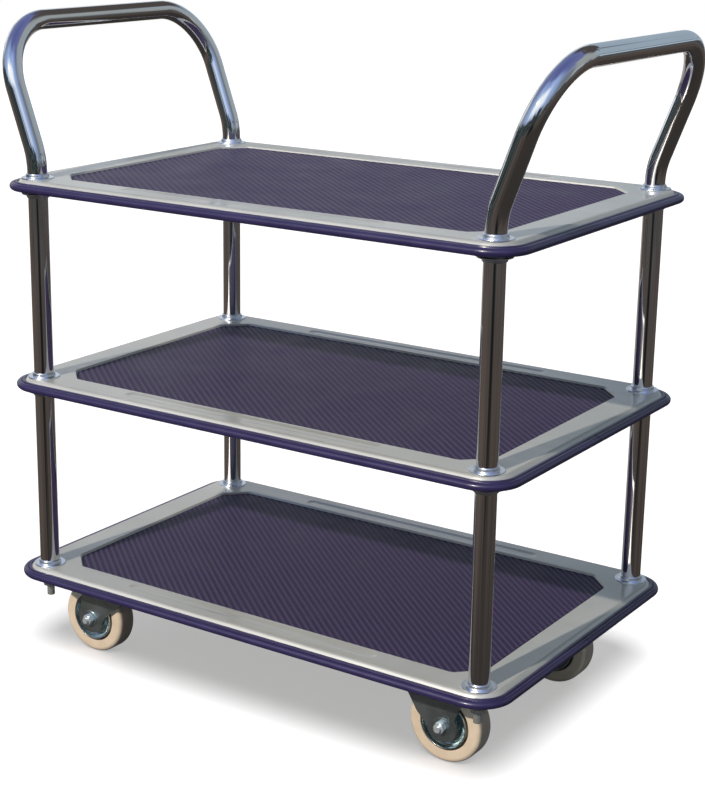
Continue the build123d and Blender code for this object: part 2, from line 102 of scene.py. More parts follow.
# ---- small geometry kit ------------------------------------------------------
def run(points, radii=None, steps=6, side=1):
    """Polyline with rounded corners as points and unit normals; side 1 puts them right of travel."""
    pts = [np.array(p, float) for p in points]
    radii = radii or [0.0] * (len(pts) - 2)
    P, N = [pts[0]], []

    def right(d):
        d = d / np.linalg.norm(d)
        return np.array((d[1], -d[0])) * side
    N.append(right(pts[1] - pts[0]))
    for i in range(1, len(pts) - 1):
        a, b, c = pts[i - 1], pts[i], pts[i + 1]
        u, v = (b - a) / np.linalg.norm(b - a), (c - b) / np.linalg.norm(c - b)
        turn = math.acos(max(-1, min(1, float(u @ v))))
        r = radii[i - 1]
        if r <= 0 or turn < 1e-4:
            P += [b]
            m = right(u) + right(v)
            N += [m / np.linalg.norm(m)]
            continue
        back = r * math.tan(turn / 2)
        start = b - u * back
        cross = u[0] * v[1] - u[1] * v[0]
        s = 1 if cross > 0 else -1
        centre = start + np.array((-u[1], u[0])) * r * s
        n = max(2, int(steps * turn / (math.pi / 2)) + 1)
        for k in range(n + 1):
            t = turn * k / n * s
            rot = np.array(((math.cos(t), -math.sin(t)), (math.sin(t), math.cos(t))))
            P.append(centre + rot @ (start - centre))
            N.append(right(rot @ u))
    P.append(pts[-1])
    N.append(right(pts[-1] - pts[-2]))
    return np.array(P), np.array(N)


def arc_run(cx, cz, r, a0, a1, n):
    """Circular section run with outward normals; angles in degrees."""
    a = np.radians(np.linspace(a0, a1, n + 1))
    d = np.c_[np.cos(a), np.sin(a)]
    return np.array((cx, cz)) + r * d, d


def rounded(points, radius, steps):
    """Convex polygon, anticlockwise, as rows of (centre x, centre y, direction x, direction y)."""
    pts = [np.array(p, float) for p in points]
    rows = []
    for i, p in enumerate(pts):
        a, b = pts[i - 1], pts[(i + 1) % len(pts)]
        u, v = (p - a) / np.linalg.norm(p - a), (b - p) / np.linalg.norm(b - p)
        n1, n2 = np.array((u[1], -u[0])), np.array((v[1], -v[0]))
        centre = p - (n1 + n2) / (1 + n1 @ n2) * radius
        t0, t1 = math.atan2(n1[1], n1[0]), math.atan2(n2[1], n2[0])
        t1 = t0 + (t1 - t0) % (2 * math.pi)
        for t in np.linspace(t0, t1, steps + 1):
            rows.append((centre[0], centre[1], math.cos(t), math.sin(t)))
    return np.array(rows), radius


def edge_loop():
    """The bumper's outer face in plan."""
    return rounded([(END, -SIDE), (END, SIDE), (-END, SIDE), (-END, -SIDE)], CORNER_R, 20)


def recess_loop():
    """The mat recess in plan, a rectangle with chamfered corners."""
    x, y, c = RECESS_X, RECESS_Y, RECESS_CHAMFER
    right = [(x - c, -y), (x, c - y), (x, y - c), (x - c, y)]
    left = [(c - x, y), (-x, y - c), (-x, c - y), (c - x, -y)]
    return rounded(right + left, RECESS_ROUND, 8)


def swage_loop(side):
    """The swage in one long border in plan, a slot with round ends."""
    r, yc = (SWAGE_Y1 - SWAGE_Y0) / 2, side * (SWAGE_Y0 + SWAGE_Y1) / 2
    rows = []
    for cx, a0 in ((SWAGE_X - r, -90), (r - SWAGE_X, 90)):
        for t in np.radians(np.linspace(a0, a0 + 180, 21)):
            rows.append((cx, yc, math.cos(t), math.sin(t)))
    return np.array(rows), r


def loop_at(shape, inset):
    """The outline of a rounded shape, moved inboard."""
    rows, radius = shape
    return rows[:, :2] + (radius - inset) * rows[:, 2:]


class Build:
    """Collects grids and flats, then makes one mesh with its exact normals."""

    def __init__(self):
        self.v, self.n, self.f = [], [], []

    def add(self, P, N, faces):
        base = sum(len(a) for a in self.v)
        P, N = np.asarray(P, float).reshape(-1, 3), np.asarray(N, float).reshape(-1, 3)
        self.v.append(P)
        self.n.append(N)
        for f in faces:
            a, b, c = P[f[0]], P[f[1]], P[f[2]]
            if np.cross(b - a, c - a) @ (N[f[0]] + N[f[1]] + N[f[2]]) < 0:
                f = f[::-1]
            self.f.append(tuple(int(base + i) for i in f))

    def grid(self, P, N, wrap_i=False, wrap_j=False):
        """Rows of points with normals as quads; an edge without length makes a triangle."""
        P, N = np.asarray(P, float), np.asarray(N, float)
        rows, cols = P.shape[:2]
        points = P.reshape(-1, 3)
        faces = []
        for i in range(rows if wrap_i else rows - 1):
            for j in range(cols if wrap_j else cols - 1):
                i2, j2 = (i + 1) % rows, (j + 1) % cols
                q = (i * cols + j, i2 * cols + j, i2 * cols + j2, i * cols + j2)
                e = [np.linalg.norm(points[q[k]] - points[q[(k + 1) % 4]]) for k in range(4)]
                q = [q[k] for k in range(4) if e[k] > 1e-5]
                if len(q) > 2:
                    faces.append(tuple(q))
        self.add(P, N, faces)

    def around(self, shape, section, wrap=True):
        """Section (inset, height) with normals carried round a rounded shape."""
        rows, radius = shape
        S, SN = section
        P = np.empty((len(rows), len(S), 3))
        N = np.empty_like(P)
        P[..., :2] = rows[:, None, :2] + (radius - S[None, :, :1]) * rows[:, None, 2:]
        P[..., 2] = S[None, :, 1]
        N[..., :2] = -SN[None, :, :1] * rows[:, None, 2:]
        N[..., 2] = SN[None, :, 1]
        self.grid(P, N, wrap_i=wrap)

    def flat(self, loops, z, up):
        """Flat face with an outer loop and holes."""
        lines = [[Vector((x, y, 0)) for x, y in loop] for loop in loops]
        P = [(v.x, v.y, z) for line in lines for v in line]
        self.add(P, [(0, 0, up)] * len(P), tessellate_polygon(lines))

    def turned(self, section, centre=(0, 0, 0), axis="z", segments=64, flip=1):
        """Section (radius, height) revolved about an upright or a Y axis."""
        S, SN = section
        a = np.radians(np.linspace(0, 360, segments, endpoint=False))
        c, s = np.cos(a)[:, None], np.sin(a)[:, None]
        r, h = S[None, :, 0], S[None, :, 1] * flip
        nr, nh = SN[None, :, 0], SN[None, :, 1] * flip
        if axis == "z":
            P = np.stack([r * c, r * s, h + 0 * c], -1)
            N = np.stack([nr * c, nr * s, nh + 0 * c], -1)
        else:
            P = np.stack([r * c, h + 0 * c, r * s], -1)
            N = np.stack([nr * c, nh + 0 * c, nr * s], -1)
        self.grid(P + np.array(centre, float), N, wrap_i=True)

    def object(self, name, shift=(0, 0, 0), scale=(1, 1, 1)):
        V = np.vstack(self.v) * np.array(scale) + np.array(shift, float)
        N = np.vstack(self.n) * np.array(scale)
        faces = self.f if np.prod(scale) > 0 else [f[::-1] for f in self.f]
        mesh = bpy.data.meshes.new(name)
        mesh.from_pydata((V * MM).tolist(), [], faces)
        mesh.polygons.foreach_set("use_smooth", [True] * len(mesh.polygons))
        mesh.update()
        N /= np.maximum(np.linalg.norm(N, axis=1, keepdims=True), 1e-9)
        mesh.normals_split_custom_set_from_vertices(N.tolist())
        obj = bpy.data.objects.new(name, mesh)
        bpy.context.scene.collection.objects.link(obj)
        return obj


def put(obj, material, nodes, body="frame"):
    """Give a piece its material, body and slot, in place of the CAD nodes it dresses."""
    obj.data.materials.clear()
    obj.data.materials.append(material)
    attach(obj, body)
    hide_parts(*nodes)


def dress(node, material, bevel, angle=35):
    """A CAD node's own shape with its edges softened, or only smoothed where bevel is 0."""
    src = NODES[node]
    mesh = src.data.copy()
    mesh.name = node + "_dressed"
    bm = bmesh.new()
    bm.from_mesh(mesh)
    bmesh.ops.remove_doubles(bm, verts=bm.verts, dist=2e-6)
    bmesh.ops.dissolve_limit(bm, angle_limit=math.radians(0.5), verts=bm.verts, edges=bm.edges)
    bm.to_mesh(mesh)
    bm.free()
    obj = bpy.data.objects.new(node + "_dressed", mesh)
    bpy.context.scene.collection.objects.link(obj)
    if "custom_normal" in mesh.attributes:
        mesh.attributes.remove(mesh.attributes["custom_normal"])
    mesh.polygons.foreach_set("use_smooth", [True] * len(mesh.polygons))
    if bevel:
        m = obj.modifiers.new("bevel", "BEVEL")
        m.width = bevel * MM
        m.segments = 2
        m.limit_method = "ANGLE"
        m.angle_limit = math.radians(angle)
        m.harden_normals = True
        m.use_clamp_overlap = True
    dg = bpy.context.evaluated_depsgraph_get()
    baked = bpy.data.meshes.new_from_object(obj.evaluated_get(dg))
    obj.modifiers.clear()
    obj.data = baked
    if not bevel:
        baked.set_sharp_from_angle(angle=math.radians(angle))
    put(obj, material, [node], src["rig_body"])


# ---- materials ---------------------------------------------------------------
class Nodes:
    """A material's node tree round its Principled BSDF, in object coordinates."""

    def __init__(self, name):
        self.mat = bpy.data.materials.new(name)
        self.mat.use_nodes = True
        self.tree = self.mat.node_tree
        self.bsdf = self.tree.nodes["Principled BSDF"]
        self.coord = self.tree.nodes.new("ShaderNodeTexCoord").outputs["Object"]

    def node(self, kind, **values):
        n = self.tree.nodes.new(kind)
        for k, v in values.items():
            setattr(n, k, v)
        return n

    def link(self, a, b):
        self.tree.links.new(a, b)

    def mapped(self, scale):
        m = self.node("ShaderNodeMapping")
        m.inputs["Scale"].default_value = scale
        self.link(self.coord, m.inputs["Vector"])
        return m.outputs["Vector"]

    def noise(self, scale, detail, vector=None):
        n = self.node("ShaderNodeTexNoise")
        n.inputs["Scale"].default_value = scale
        n.inputs["Detail"].default_value = detail
        n.inputs["Roughness"].default_value = 0.55
        self.link(vector or self.coord, n.inputs["Vector"])
        return n.outputs["Fac"]

    def span(self, fac, lo, hi, a=0.3, b=0.7):
        """A factor from a to b carried to the range lo to hi."""
        n = self.node("ShaderNodeMapRange")
        for k, v in (("From Min", a), ("From Max", b), ("To Min", lo), ("To Max", hi)):
            n.inputs[k].default_value = v
        self.link(fac, n.inputs["Value"])
        return n.outputs["Result"]

    def blend(self, fac, dark, light):
        """A colour between two, over the middle of a noise's range."""
        n = self.node("ShaderNodeValToRGB")
        for stop, at, colour in zip(n.color_ramp.elements, (0.35, 0.65), (dark, light)):
            stop.position, stop.color = at, (*colour, 1)
        self.link(fac, n.inputs["Fac"])
        return n.outputs["Color"]

    def bump(self, height, distance, strength):
        n = self.node("ShaderNodeBump")
        n.inputs["Distance"].default_value = distance
        n.inputs["Strength"].default_value = strength
        self.link(height, n.inputs["Height"])
        self.link(n.outputs["Normal"], self.bsdf.inputs["Normal"])

    def mix(self, fac, c1, c2):
        n = self.node("ShaderNodeMixRGB")
        for name, value in (("Fac", fac), ("Color1", c1), ("Color2", c2)):
            self.link(value, n.inputs[name])
        return n.outputs["Color"]

    def finish(self, colour, roughness):
        self.link(colour, self.bsdf.inputs["Base Color"])
        self.link(roughness, self.bsdf.inputs["Roughness"])

    def set(self, **values):
        for k, v in values.items():
            self.bsdf.inputs[k.replace("_", " ")].default_value = v


def chrome(name, base, rough=(0.03, 0.06)):
    """Plated metal, a little darker and duller where it was touched."""
    m = Nodes(name)
    smudge = m.noise(7.0, 3.0)
    m.finish(m.blend(smudge, tuple(0.93 * c for c in base), base), m.span(smudge, *rough))
    m.set(Metallic=1.0)
    m.bump(m.noise(45.0, 2.0), 0.00006, 0.25)
    return m.mat


def tray_metal():
    """Zinc-coated sheet under clear lacquer: soft clouds, faint rolling lines, slow waves."""
    m = Nodes("tray_metal")
    cloud = m.noise(4.5, 5.0)
    rolled = m.noise(55.0, 3.0, m.mapped((0.05, 1.0, 1.0)))
    m.finish(m.blend(cloud, (0.52, 0.515, 0.48), (0.63, 0.62, 0.58)), m.span(rolled, 0.40, 0.50))
    m.set(Metallic=0.35, Coat_Weight=0.6, Coat_Roughness=0.06)
    m.bump(m.noise(14.0, 1.0), 0.0006, 0.5)
    return m.mat


def rubber(name, dark, light, rough, scale=40.0, bump=0.00012, **extra):
    """Moulded rubber or nylon with a fine skin."""
    m = Nodes(name)
    tone = m.noise(scale, 5.0)
    fine = m.noise(1400.0, 2.0)
    m.finish(m.blend(tone, dark, light), m.span(tone, *rough))
    m.set(**extra)
    m.bump(fine, bump, 0.3)
    return m.mat


def ribbed_rubber():
    """Mat rubber: paler crests and darker grooves in step with the modelled ribs, a painted highlight on
    the crests and painted shade in the grooves.
    """
    m = Nodes("mat_rubber")
    a = math.radians(RIB_ANGLE)
    across = m.node("ShaderNodeVectorMath", operation="DOT_PRODUCT")
    across.inputs[1].default_value = (math.sin(a) / MM, -math.cos(a) / MM, 0)
    m.link(m.coord, across.inputs[0])
    turn = m.node("ShaderNodeMath", operation="MULTIPLY")
    turn.inputs[1].default_value = 2 * math.pi / RIB_PITCH
    m.link(across.outputs["Value"], turn.inputs[0])
    wave = m.node("ShaderNodeMath", operation="COSINE")
    m.link(turn.outputs[0], wave.inputs[0])
    # crest is 1 on the rib tops: it puts the painted highlight there and the painted shade in the grooves
    crest = m.span(wave.outputs[0], 0.0, 1.0, -0.1, 0.9)
    tone = m.noise(14.0, 5.0)
    # first the groove colour with painted shade, then the crest colour with painted highlight
    low = m.blend(tone, (0.030, 0.017, 0.062), (0.036, 0.021, 0.072))
    high = m.blend(tone, (0.066, 0.050, 0.110), (0.078, 0.060, 0.126))
    m.finish(m.mix(crest, low, high), m.span(tone, 0.40, 0.50))
    m.set(Specular_IOR_Level=0.14)
    m.bump(m.noise(1200.0, 2.0), 0.00008, 0.3)
    return m.mat


def tyre_rubber():
    """Cream rubber, clean on the sides and darker round the tread: partly dirt, partly painted shade."""
    m = Nodes("tyre_rubber")
    tone = m.noise(55.0, 5.0)
    clean = m.blend(tone, (0.66, 0.525, 0.39), (0.73, 0.59, 0.45))
    # tread colour: dirt and painted shade together, darker than the sides
    soiled_and_shaded = m.blend(tone, (0.36, 0.28, 0.22), (0.43, 0.34, 0.27))
    normal = m.node("ShaderNodeTexCoord").outputs["Normal"]
    parts = m.node("ShaderNodeSeparateXYZ")
    m.link(normal, parts.inputs[0])
    square = m.node("ShaderNodeMath", operation="MULTIPLY")
    m.link(parts.outputs["Y"], square.inputs[0])
    m.link(parts.outputs["Y"], square.inputs[1])
    # 1 on the side faces, 0 round the tread, where the dirt and painted shade go
    sideways = m.span(square.outputs[0], 0.0, 1.0, 0.04, 0.5)
    m.finish(m.mix(sideways, soiled_and_shaded, clean), m.span(tone, 0.45, 0.6))
    m.bump(m.noise(1400.0, 2.0), 0.00012, 0.3)
    return m.mat


def zinc(name, dark, light, rough, metallic=1.0):
    """Zinc plating, mottled and a little grainy."""
    m = Nodes(name)
    tone = m.noise(25.0, 6.0)
    fine = m.noise(500.0, 3.0)
    m.finish(m.blend(tone, dark, light), m.span(tone, *rough))
    m.set(Metallic=metallic)
    m.bump(fine, 0.00006, 0.4)
    return m.mat


TUBE = chrome("chromed_tube", (0.80, 0.80, 0.80))
COLLAR = chrome("chromed_collar", (0.86, 0.90, 0.95), rough=(0.27, 0.36))
TRAY = tray_metal()
MAT = ribbed_rubber()
BUMPER = rubber("bumper_rubber", (0.028, 0.020, 0.080), (0.035, 0.025, 0.094), rough=(0.30, 0.38),
                scale=30.0, bump=0.00003, Coat_Weight=0.15, Coat_Roughness=0.14)
TYRE = tyre_rubber()
RIM = zinc("rim_steel", (0.44, 0.52, 0.53), (0.62, 0.70, 0.71), rough=(0.16, 0.28))
FORK = zinc("fork_zinc", (0.35, 0.42, 0.43), (0.50, 0.585, 0.595), rough=(0.24, 0.34), metallic=0.95)
HARDWARE = zinc("hardware_zinc", (0.64, 0.69, 0.73), (0.78, 0.83, 0.87), rough=(0.22, 0.32),
                metallic=0.6)
ROD = zinc("rod_zinc", (0.52, 0.53, 0.51), (0.64, 0.65, 0.62), rough=(0.20, 0.30), metallic=0.72)
UNDER = zinc("channel_zinc", (0.30, 0.31, 0.31), (0.40, 0.41, 0.41), rough=(0.35, 0.5))
BUSH = rubber("bush_nylon", (0.62, 0.60, 0.54), (0.70, 0.68, 0.62), rough=(0.4, 0.5))

# ---- trays -------------------------------------------------------------------
EDGE = edge_loop()
RECESS = recess_loop()
SWAGES = [swage_loop(side) for side in (-1, 1)]


def swage_section(z):
    """Points of a swage's section, for a sheet face at height z."""
    return [(-SWAGE_LIP, z), (0, z), (SWAGE_RUN, z - SWAGE_DEPTH), (SWAGE_FLOOR_IN, z - SWAGE_DEPTH)]


def tray_build():
    """Pressed sheet: hem, sloped shoulder, flat border with two swages, and the recess for the mat."""
    b = Build()
    hem_inner, shoulder_low = HEM_IN + SHEET, -STEP_DROP - SHEET
    under = [(PLATE_IN, -SHEET), (FLAT_IN + UNDERSIDE_IN, -SHEET), (STEP_IN + UNDERSIDE_IN, shoulder_low),
             (hem_inner, shoulder_low), (hem_inner, -HEM_DROP)]
    outer = [(HEM_IN, -HEM_DROP), (HEM_IN, -STEP_DROP), (STEP_IN, -STEP_DROP), (FLAT_IN, 0.0),
             (PLATE_IN, 0.0)]
    b.around(EDGE, run(under + outer, [FOLD_R - SHEET, 1.0, 0.3, 0.3, 0.3, 1.0, 0.1, FOLD_R], 24, -1))
    border = [loop_at(EDGE, PLATE_IN), loop_at(RECESS, -RECESS_LIP)]
    border += [loop_at(p, -SWAGE_LIP) for p in SWAGES]
    b.flat(border, 0.0, 1)
    wall = [(-RECESS_LIP, 0), (0, 0), (WALL_RUN, -RECESS_DEPTH), (RECESS_FLOOR_IN, -RECESS_DEPTH)]
    b.around(RECESS, run(wall, [1.7, 1.0], 8, -1))
    for p in SWAGES:
        b.around(p, run(swage_section(0), [2.5, 2.5], 8, -1))
        b.flat([loop_at(p, SWAGE_FLOOR_IN)], -SWAGE_DEPTH, 1)
    b.flat(border, -SHEET, -1)
    low = -RECESS_DEPTH - SHEET
    wall = [(-RECESS_LIP, -SHEET), (UNDER_WALL[0], -SHEET), (UNDER_WALL[1], low), (UNDER_FLOOR_IN, low)]
    b.around(RECESS, run(wall, [0.4, 1.5], 6, 1))
    b.flat([loop_at(RECESS, UNDER_FLOOR_IN)], low, -1)
    for p in SWAGES:
        b.around(p, run(swage_section(-SHEET), [2.0, 2.0], 6, 1))
        b.flat([loop_at(p, SWAGE_FLOOR_IN)], -SWAGE_DEPTH - SHEET, -1)
    return b


def mat_build():
    """Diagonal ribs as real ridges, cut to the mat's outline."""
    b = Build()
    outline, top = loop_at(RECESS, WALL_RUN + MAT_GAP), MAT_T - RECESS_DEPTH
    t = np.array((math.cos(math.radians(RIB_ANGLE)), math.sin(math.radians(RIB_ANGLE))))
    n = np.array((t[1], -t[0]))
    s_all, t_all = outline @ n, outline @ t
    s0, s1 = s_all.min() + 1e-3, s_all.max() - 1e-3
    S = np.linspace(s0, s1, int((s1 - s0) / RIB_PITCH * RIB_STEPS))
    lo, hi = np.full(len(S), 1e9), np.full(len(S), -1e9)
    for sa, sb, ta, tb in zip(s_all, np.roll(s_all, -1), t_all, np.roll(t_all, -1)):
        if abs(sb - sa) < 1e-9:
            continue
        k = (S - sa) / (sb - sa)
        hit = (k >= -1e-9) & (k <= 1 + 1e-9)
        tt = ta + k * (tb - ta)
        lo = np.where(hit, np.minimum(lo, tt), lo)
        hi = np.where(hit, np.maximum(hi, tt), hi)
    crest = np.clip(0.5 + RIB_FULLNESS * np.cos(2 * math.pi / RIB_PITCH * S), 0, 1)
    h = top - RIB_DEPTH * (1 - crest * crest * (3 - 2 * crest))
    slope = np.gradient(h, S)
    fade = np.minimum(RIB_FADE, (hi - lo) / 3)
    flat = np.full(len(S), top)
    P, N = [], []
    for t_at, z_at, tilt in ((lo, flat, 0.0), (lo + fade, h, 1.0), (hi - fade, h, 1.0), (hi, flat, 0.0)):
        P.append(np.c_[np.outer(t_at, t) + np.outer(S, n), z_at])
        up = np.c_[-tilt * slope[:, None] * n, np.ones(len(S))]
        N.append(up / np.linalg.norm(up, axis=1, keepdims=True))
    P = np.stack(P, 1)
    b.grid(P, np.stack(N, 1))
    for col in (0, -1):
        side = P[:, col]
        foot = side.copy()
        foot[:, 2] = -RECESS_DEPTH
        tangent = np.gradient(side[:, :2], axis=0)
        normal = np.c_[tangent[:, 1], -tangent[:, 0], np.zeros(len(S))]
        normal *= np.where(np.sum(normal[:, :2] * side[:, :2], 1) < 0, -1, 1)[:, None]
        normal /= np.maximum(np.linalg.norm(normal, axis=1, keepdims=True), 1e-9)
        b.grid(np.stack([side, foot], 1), np.stack([normal, normal], 1))
    return b


def bumper_build():
    """Strip carried round from one side of the butt seam to the other."""
    b = Build()
    rows, radius = EDGE
    centre_x, centre_y = END - CORNER_R, SIDE - CORNER_R
    off_centre = np.hypot(rows[:, 0] - centre_x, rows[:, 1] - centre_y)
    first = int(np.argmin(off_centre + 10 * np.abs(rows[:, 3])))
    start = np.array([(centre_x, BUMPER_SEAM, 1, 0)])
    end = np.array([(centre_x, -BUMPER_SEAM, 1, 0)])
    path = (np.vstack([start, np.roll(rows, -first, axis=0), end]), radius)
    nose_z = -BULGE_DROP + math.sqrt(BULGE_R ** 2 - (NOSE_IN - BULGE_R) ** 2)
    nose_angle = math.degrees(math.atan2(nose_z + BULGE_DROP, NOSE_IN - BULGE_R))
    bulge_low = -BULGE_DROP - BULGE_R
    lip = [(LIP_IN, -STEP_DROP), (LIP_IN, -LIP_TOP), (7.5, -LIP_TOP), DIP]
    hook = [(BULGE_R, bulge_low), (9.9, bulge_low), (10.8, -13.5), (10.8, -11.2), (9.3, -11.2)]
    runs = [run(lip, [0.7, 0.6], 8, -1),
            run([DIP, (NOSE_IN, nose_z)], None, 2, -1),
            arc_run(BULGE_R, -BULGE_DROP, BULGE_R, nose_angle, 270, 28),
            run(hook, [0.4, 0.4, 0.3], 6, -1)]
    for section in runs:
        b.around(path, section, wrap=False)
    ring = np.vstack([section[0] for section in runs])
    for y, ny in ((BUMPER_SEAM, -1), (-BUMPER_SEAM, 1)):
        loop = np.c_[END - ring[:, 0], np.full(len(ring), y), ring[:, 1]]
        tris = tessellate_polygon([[Vector((p[0], p[2], 0)) for p in loop]])
        b.add(loop, [(0, ny, 0)] * len(loop), tris)
    return b


tray, mat, bumper = tray_build(), mat_build(), bumper_build()
for deck, z in DECK_Z.items():
    put(tray.object(f"{deck}_tray", (0, 0, z)), TRAY, [f"{deck}_deck_pan"])
    put(mat.object(f"{deck}_mat", (0, 0, z)), MAT, [f"{deck}_deck_mat"])
    put(bumper.object(f"{deck}_bumper", (0, 0, z)), BUMPER, [f"{deck}_deck_bumper"])
    dress(f"{deck}_deck_channels", UNDER, 0.5)


# ---- posts, collars, handles -------------------------------------------------
def collars(flip, drop):
    """The cup collars on one side of every tray; flip -1 hangs them upside down."""
    b = Build()
    cup = [(FLANGE_R, 0), (FLANGE_R, FLANGE_T), (NECK_R, FLANGE_T), (NECK_TOP_R, COLLAR_H),
           (CUP_R, COLLAR_H), (CUP_R, CUP_FLOOR)]
    shape = run(cup, [0.5, 1.2, 1.0, 0.3], 8, 1)
    for z in DECK_Z.values():
        for sx in (-1, 1):
            for sy in (-1, 1):
                b.turned(shape, (sx * POST_X, sy * POST_Y, z - drop), flip=flip)
    return b


put(collars(1, 0).object("upper_collars_dressed"), COLLAR, ["upper_collars"])
put(collars(-1, CHANNEL_DROP).object("lower_collars_dressed"), COLLAR, ["lower_collars"])

for level, base in (("lower", DECK_Z["bottom"]), ("upper", DECK_Z["middle"])):
    for row, sy in (("front", -1), ("rear", 1)):
        for side, sx in (("left", -1), ("right", 1)):
            node = f"{level}_post_{row}_{side}"
            low, high = base + FLANGE_T, base + DECK_PITCH - CHANNEL_DROP - FLANGE_T
            post = Build()
            post.turned(run([(TUBE_R, low), (TUBE_R, high)]), (sx * POST_X, sy * POST_Y, 0))
            put(post.object(node + "_dressed"), TUBE, [node])


def handle_build():
    """The bent tube at the +X end as one smooth sweep."""
    a = math.radians(LEAN)
    top = DECK_Z["top"]
    up = np.array((math.sin(a), 0, math.cos(a)))
    knee = np.array((POST_X, -POST_Y, top + LEAN_START))
    low = LOWER_BEND_R * math.tan(a / 2)
    bar = knee + up * (BAR_Z - top - LEAN_START) / math.cos(a)
    pts, tan = [], []

    def add(p, t):
        pts.append(np.array(p, float))
        tan.append(np.array(t, float) / np.linalg.norm(t))
    add((POST_X, -POST_Y, top + FLANGE_T), (0, 0, 1))
    lower_steps, corner_steps, sides = 12, 36, 56
    for k in range(lower_steps + 1):
        t = a * k / lower_steps
        out, rise = LOWER_BEND_R * (1 - math.cos(t)), LOWER_BEND_R * math.sin(t)
        add((POST_X + out, -POST_Y, knee[2] - low + rise), (math.sin(t), 0, math.cos(t)))
    back = np.array((0, 1, 0))
    corner = bar - up * CORNER_BEND_R + back * CORNER_BEND_R
    for k in range(corner_steps + 1):
        t = math.pi / 2 * k / corner_steps
        add(corner + CORNER_BEND_R * (up * math.sin(t) - back * math.cos(t)),
            up * math.cos(t) + back * math.sin(t))
    for p, t in list(zip(pts, tan))[::-1]:
        add(p * (1, -1, 1), t * (-1, 1, -1))
    side = np.array((math.cos(a), 0, -math.sin(a)))
    P, N = [], []
    for p, t in zip(pts, tan):
        e1 = side - t * (side @ t)
        e1 /= np.linalg.norm(e1)
        e2 = np.cross(t, e1)
        turns = np.linspace(0, 2 * math.pi, sides, endpoint=False)
        ring = [e1 * math.cos(u) + e2 * math.sin(u) for u in turns]
        N.append(ring)
        P.append([p + TUBE_R * r for r in ring])
    b = Build()
    b.grid(np.array(P), np.array(N), wrap_j=True)
    return b


handle = handle_build()
put(handle.object("right_handle_dressed"), TUBE, ["right_handle"])
put(handle.object("left_handle_dressed", scale=(-1, 1, 1)), TUBE, ["left_handle"])

# ---- wheels ------------------------------------------------------------------
# half sections (radius, distance from the wheel's own plane) with the rounds of their corners
TYRE_HALF = [(RIM_R, 8.9), (33.2, 9.3), (33.4, TYRE_HALF_W), (WHEEL_R, TYRE_HALF_W)]
TYRE_ROUND = [0.1, 0.7, 6.0]
RIM_HALF = [(9.0, HUB_HALF), (12.0, HUB_HALF), (12.4, 14.0), (13.6, 11.0), (16.5, 9.6), (23.0, 9.6),
            (26.0, 10.8), (28.0, 13.2), (29.0, 16.0), (29.7, LIP_HALF), (30.6, LIP_HALF), (31.0, 15.6),
            (31.2, 9.4), (RIM_R, 9.0)]
RIM_ROUND = [0.6, 1.0, 2.0, 3.0, 3.0, 3.0, 2.5, 1.0, 0.4, 0.4, 0.6, 0.3, 0.0]


def wheel_build(half, rounds):
    """A half section mirrored in the wheel's own plane and turned about the axle."""
    other = [(r, -h) for r, h in reversed(half)]
    b = Build()
    b.turned(run(half + other, rounds + rounds[::-1], 10, -1), axis="y", segments=120)
    return b


tyre, rim = wheel_build(TYRE_HALF, TYRE_ROUND), wheel_build(RIM_HALF, RIM_ROUND)
for kind, x in (("rigid", RIGID_X), ("swivel", SWIVEL_X)):
    for row, y in (("front", -CASTER_Y), ("rear", CASTER_Y)):
        wheel = f"{kind}_{row}"
        spot = (x, y, AXLE_Z)
        put(tyre.object(f"{wheel}_tyre_dressed", spot), TYRE, [f"{wheel}_tyre"],
            f"{wheel}_wheel")
        put(rim.object(f"{wheel}_rim_dressed", spot), RIM, [f"{wheel}_wheel_rim"],
            f"{wheel}_wheel")

# ---- casters and fasteners keep their CAD shape; what was dressed above is hidden by now
for row in ("front", "rear"):
    dress(f"rigid_caster_{row}_fork", FORK, 0.6)
    dress(f"swivel_caster_{row}_fork", FORK, 0.6)
    dress(f"swivel_caster_{row}_top_plate", FORK, 0.4)
for node in NODES:
    if NODES[node].hide_render:
        continue
    if node.endswith("bush"):
        dress(node, BUSH, 0, 30)
    elif node in ("tie_rods", "tie_rod_nuts"):
        dress(node, ROD, 0.25)
    elif node.endswith(("balls", "plugs", "sleeve", "sleeves", "kingpins")):
        dress(node, HARDWARE, 0, 30)
    else:
        dress(node, HARDWARE, 0.25)

# ---- floor: white to the camera, a plain grey for the light it throws back ----
FLOOR_SEEN, FLOOR_THROWN = (0.73, 0.593, 0.508, 1), (0.20, 0.19, 0.18, 1)
FLOOR_GLOW = 0.395        # lifts the shadow's core to its pale grey
FLOOR_SIZE = 14.0         # metres

bpy.ops.mesh.primitive_plane_add(size=FLOOR_SIZE, location=(0, 0, 0))
floor = bpy.context.object
floor.name = "floor"
floor.visible_glossy = False
floor_paint = bpy.data.materials.new("floor")
floor_paint.use_nodes = True
tree = floor_paint.node_tree
paint = tree.nodes["Principled BSDF"]
paint.inputs["Roughness"].default_value = 0.9
paint.inputs["Specular IOR Level"].default_value = 0.0
paint.inputs["Emission Color"].default_value = (1, 1, 1, 1)
seen = tree.nodes.new("ShaderNodeLightPath").outputs["Is Camera Ray"]
shade = tree.nodes.new("ShaderNodeMixRGB")
shade.inputs["Color1"].default_value = FLOOR_THROWN
shade.inputs["Color2"].default_value = FLOOR_SEEN
tree.links.new(seen, shade.inputs["Fac"])
tree.links.new(shade.outputs["Color"], paint.inputs["Base Color"])
glow = tree.nodes.new("ShaderNodeMath")
glow.operation = "MULTIPLY"
glow.inputs[1].default_value = FLOOR_GLOW
tree.links.new(seen, glow.inputs[0])
tree.links.new(glow.outputs[0], paint.inputs["Emission Strength"])
floor.data.materials.append(floor_paint)

# ---- world: white to the camera, an even light, and a yard for the chrome ----
world = bpy.data.worlds.new("studio")
bpy.context.scene.world = world
world.use_nodes = True
wt = world.node_tree
for n in list(wt.nodes):
    wt.nodes.remove(n)


